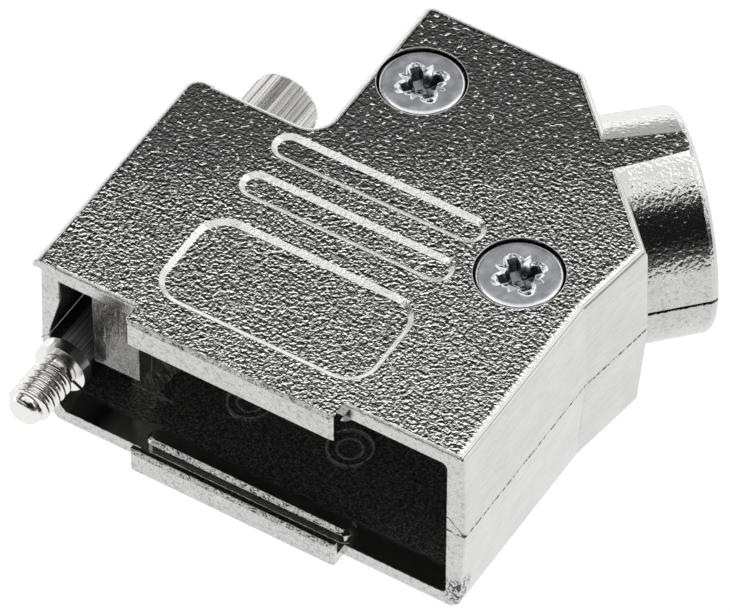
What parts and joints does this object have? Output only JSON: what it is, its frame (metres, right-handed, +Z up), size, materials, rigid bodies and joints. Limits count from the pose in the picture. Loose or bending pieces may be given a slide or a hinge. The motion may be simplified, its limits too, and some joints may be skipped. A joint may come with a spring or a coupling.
{
  "type": "d-sub hood",
  "caption": "Angled metal hood for a nine-way d-sub connector: two screwed half shells, a round 45 degree cable outlet and a captive jackscrew.",
  "frame": {"origin": "middle of the connector's mating edge, on the plane of the flat underside", "axes": "+X along the mating edge towards the outlet side, +Y from the mating edge to the back, +Z up from the underside"},
  "size_m": [0.0351, 0.0414, 0.0148],
  "materials": {
    "nickel_zinc": "nickel plated die casting, fine grain on the top",
    "zinc_steel": "zinc plated steel",
    "nickel_steel": "nickel plated turned steel"
  },
  "bodies": {
    "hood": {"upper_shell": "nickel_zinc", "lower_shell": "nickel_zinc", "front_shell_screw": "zinc_steel", "rear_shell_screw": "zinc_steel", "cable_clamp": "zinc_steel", "clamp_screw_inner": "zinc_steel", "clamp_screw_outer": "zinc_steel"},
    "ring": {"retaining_ring": "nickel_steel"},
    "screw": {"jackscrew": "nickel_steel"}
  },
  "joints": [
    {"name": "jackscrew_float", "type": "slide", "parent": "hood", "child": "ring", "axis": [0, 1, 0], "range_m": [-0.0002, 0.0006]},
    {"name": "jackscrew_turn", "type": "hinge", "parent": "ring", "child": "screw", "pos_m": [-0.01249, 0, 0.00737], "axis": [0, 1, 0], "continuous": true}
  ]
}
